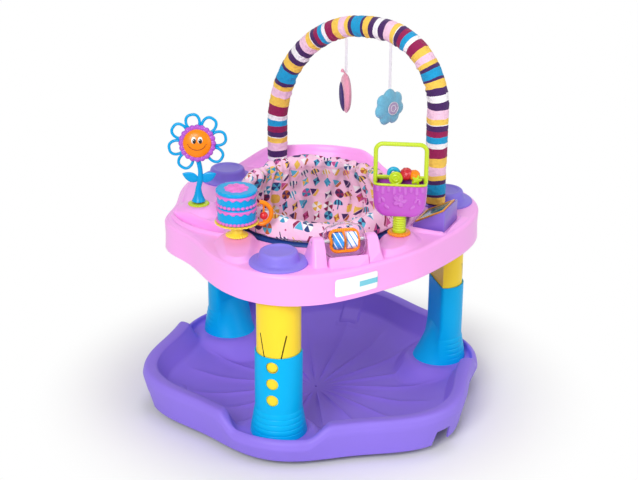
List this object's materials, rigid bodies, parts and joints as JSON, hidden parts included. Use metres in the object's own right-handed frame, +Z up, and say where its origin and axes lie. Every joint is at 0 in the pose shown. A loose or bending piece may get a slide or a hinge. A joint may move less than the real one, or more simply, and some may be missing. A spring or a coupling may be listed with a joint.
{
  "type": "activity jumper",
  "caption": "Free-standing activity saucer: dished base, telescoping legs, bouncing toy tray, swivel bucket seat and a fabric toy arch.",
  "frame": {"origin": "on the floor, under the middle of the base", "axes": "+Z up; -Y towards the roller and the label, the side the child faces; +X to the right leg"},
  "size_m": [0.7341, 0.6872, 0.799],
  "materials": {
    "base_plastic": "moulded, satin",
    "foot_plastic": "moulded, satin",
    "pin_steel": "plated",
    "sleeve_plastic": "moulded, semi-gloss",
    "tube_plastic": "moulded, semi-gloss",
    "cap_plastic": "moulded, satin",
    "tray_plastic": "moulded, semi-gloss",
    "label_white": "smooth label film",
    "ring_navy": "moulded, satin",
    "glide_white": "smooth, low friction",
    "seat_fabric": "printed woven polyester, padded",
    "arch_fabric": "striped woven polyester",
    "ribbon_white": "woven ribbon",
    "bug_plush": "stuffed short-pile plush",
    "flower_plush": "stuffed short-pile plush",
    "lime_plastic": "moulded, glossy",
    "toy_cyan": "moulded, glossy",
    "toy_violet": "moulded, glossy",
    "toy_orange": "moulded, glossy",
    "toy_yellow": "moulded, glossy",
    "icing_pink": "moulded, glossy",
    "toy_red": "moulded, glossy",
    "toy_blue": "moulded, glossy",
    "clear_plastic": "clear, polished",
    "basket_violet": "moulded, glossy",
    "panel_teal": "smooth panel"
  },
  "bodies": {
    "base": {"base_tray": "base_plastic", "stabiliser_brackets": "foot_plastic", "stabiliser_pins": "pin_steel", "lower_sleeve_front": "sleeve_plastic", "lower_sleeve_right": "sleeve_plastic", "lower_sleeve_rear": "sleeve_plastic", "sleeve_screws": "pin_steel"},
    "foot_front": {"stabiliser_foot_front": "foot_plastic"},
    "foot_left": {"stabiliser_foot_left": "foot_plastic"},
    "foot_rear": {"stabiliser_foot_rear": "foot_plastic"},
    "upper_legs": {"upper_tube_front": "tube_plastic", "upper_tube_right": "tube_plastic", "upper_tube_rear": "tube_plastic", "bounce_springs": "pin_steel"},
    "button_front": {"height_button_front": "tube_plastic"},
    "button_right": {"height_button_right": "tube_plastic"},
    "button_rear": {"height_button_rear": "tube_plastic"},
    "tray": {"tray": "tray_plastic", "leg_guides": "cap_plastic", "leg_cap_front": "cap_plastic", "leg_cap_right": "cap_plastic", "leg_cap_rear": "cap_plastic", "label_plate": "label_white", "arch_tube": "glide_white", "arch_sleeve": "arch_fabric", "arch_sockets": "cap_plastic", "flower_socket": "lime_plastic", "cake_stand": "toy_yellow", "cake_spindle": "pin_steel", "bead_bow": "toy_orange", "roller_axle": "pin_steel", "basket_socket": "toy_orange", "wedge_housing": "cap_plastic", "wedge_frame": "toy_orange"},
    "seat": {"seat_ring": "ring_navy", "seat_glides": "glide_white", "seat_pad": "seat_fabric"},
    "hanging_bug": {"bug_ribbon": "ribbon_white", "bug_body": "bug_plush", "bug_antenna": "bug_plush"},
    "hanging_flower": {"plush_ribbon": "ribbon_white", "plush_flower": "flower_plush"},
    "flower": {"flower_stem": "toy_cyan", "flower_petals": "toy_cyan", "flower_ring": "toy_violet", "flower_face": "toy_orange"},
    "cake_lower": {"cake_lower_tier": "toy_cyan", "lower_icing": "icing_pink"},
    "cake_upper": {"cake_upper_tier": "toy_cyan", "upper_icing": "icing_pink"},
    "bead": {"red_bead": "toy_red"},
    "roller": {"roller_shell": "clear_plastic", "roller_frame": "toy_orange", "roller_drums": "toy_blue"},
    "basket": {"basket_post": "lime_plastic", "basket_shell": "basket_violet", "basket_handle": "lime_plastic"},
    "fruit": {"fruit_beads": "toy_red"},
    "panel": {"press_panel": "panel_teal"}
  },
  "joints": [
    {"name": "foot_front_fold", "type": "hinge", "parent": "base", "child": "foot_front", "pos_m": [0.145, -0.25115, 0.012], "axis": [-0.866, -0.5, 0], "range_deg": [0, 90]},
    {"name": "foot_left_fold", "type": "hinge", "parent": "base", "child": "foot_left", "pos_m": [-0.29, 0, 0.012], "axis": [0, 1, 0], "range_deg": [0, 90]},
    {"name": "foot_rear_fold", "type": "hinge", "parent": "base", "child": "foot_rear", "pos_m": [0.145, 0.25115, 0.012], "axis": [0.866, -0.5, 0], "range_deg": [0, 90]},
    {"name": "tray_height", "type": "slide", "parent": "base", "child": "upper_legs", "axis": [0, 0, 1], "range_m": [-0.072, 0]},
    {"name": "button_front_press", "type": "slide", "parent": "upper_legs", "child": "button_front", "axis": [0.5, 0.866, 0], "range_m": [0, 0.006], "stiffness_N_per_m": 800, "springref_m": -0.002},
    {"name": "button_right_press", "type": "slide", "parent": "upper_legs", "child": "button_right", "axis": [-1, 0, 0], "range_m": [0, 0.006], "stiffness_N_per_m": 800, "springref_m": -0.002},
    {"name": "button_rear_press", "type": "slide", "parent": "upper_legs", "child": "button_rear", "axis": [0.5, -0.866, 0], "range_m": [0, 0.006], "stiffness_N_per_m": 800, "springref_m": -0.002},
    {"name": "tray_bounce", "type": "slide", "parent": "upper_legs", "child": "tray", "axis": [0, 0, 1], "range_m": [-0.016, 0], "stiffness_N_per_m": 4000, "springref_m": 0.02, "deforming": ["bounce_springs"]},
    {"name": "seat_swivel", "type": "hinge", "parent": "tray", "child": "seat", "pos_m": [0, 0, 0.4], "axis": [0, 0, 1], "continuous": true},
    {"name": "bug_swing", "type": "hinge", "parent": "tray", "child": "hanging_bug", "pos_m": [0.09473, 0.13055, 0.74184], "axis": [0.5996, -0.8003, 0], "range_deg": [-35, 35]},
    {"name": "flower_swing", "type": "hinge", "parent": "tray", "child": "hanging_flower", "pos_m": [0.16309, 0.03931, 0.75248], "axis": [0.5996, -0.8003, 0], "range_deg": [-35, 35]},
    {"name": "flower_nod", "type": "hinge", "parent": "tray", "child": "flower", "pos_m": [-0.237, 0.066, 0.4303], "axis": [0.9703, -0.2419, 0], "range_deg": [-10, 10], "stiffness_Nm_per_rad": 3},
    {"name": "cake_lower_spin", "type": "hinge", "parent": "tray", "child": "cake_lower", "pos_m": [-0.197, -0.128, 0.45], "axis": [0, 0, 1], "continuous": true},
    {"name": "cake_upper_spin", "type": "hinge", "parent": "tray", "child": "cake_upper", "pos_m": [-0.197, -0.128, 0.45], "axis": [0, 0, 1], "continuous": true},
    {"name": "bead_spin", "type": "hinge", "parent": "tray", "child": "bead", "pos_m": [-0.14581, -0.14172, 0.46], "axis": [0, 0, 1], "continuous": true},
    {"name": "roller_spin", "type": "hinge", "parent": "tray", "child": "roller", "pos_m": [0, -0.254, 0.45], "axis": [1, 0, 0], "continuous": true},
    {"name": "basket_swivel", "type": "hinge", "parent": "tray", "child": "basket", "pos_m": [0.118, -0.189, 0.44], "axis": [0, 0, 1], "range_deg": [0, 50]},
    {"name": "fruit_spin", "type": "hinge", "parent": "basket", "child": "fruit", "pos_m": [0.118, -0.189, 0.5463], "axis": [0.9397, -0.342, 0], "continuous": true},
    {"name": "panel_press", "type": "slide", "parent": "tray", "child": "panel", "axis": [0.3766, -0.2943, -0.8784], "range_m": [0, 0.003], "stiffness_N_per_m": 600, "springref_m": -0.002}
  ]
}
